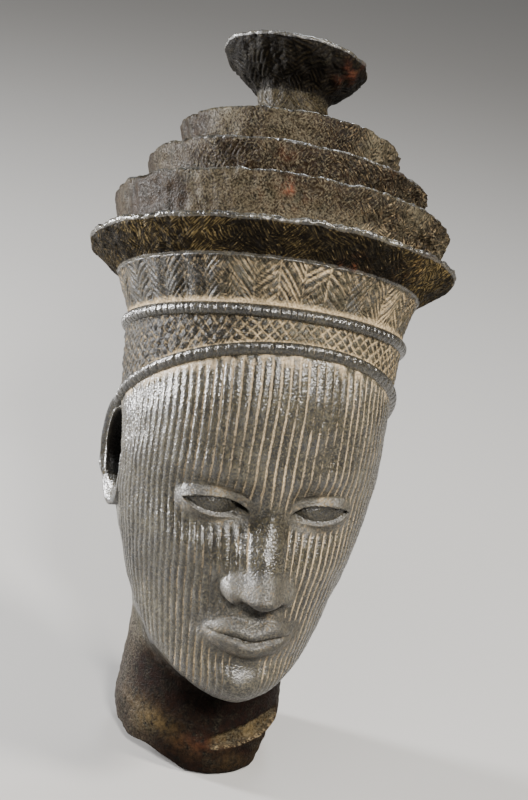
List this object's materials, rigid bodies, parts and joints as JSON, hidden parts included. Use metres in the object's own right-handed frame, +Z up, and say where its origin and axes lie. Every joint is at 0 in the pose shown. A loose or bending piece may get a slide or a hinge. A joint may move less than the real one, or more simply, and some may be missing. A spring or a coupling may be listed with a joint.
{
  "type": "shrine head",
  "caption": "Hollow fired-clay head with a calm face on a broken-edged neck, under a tall backward-leaning crown of bands, a wide brim, stepped tiers and a flared finial.",
  "frame": {"origin": "middle of the box around the head, on the surface that the neck's edge stands on", "axes": "+Z up, the face looks along -Y, +X is at the right of someone who faces it"},
  "size_m": [0.1558, 0.1819, 0.3116],
  "materials": {
    "clay": "fired clay with a dark, slightly glossy skin, tan earth in its grooves"
  },
  "bodies": {
    "root": {"shrine_head": "clay"}
  },
  "joints": []
}
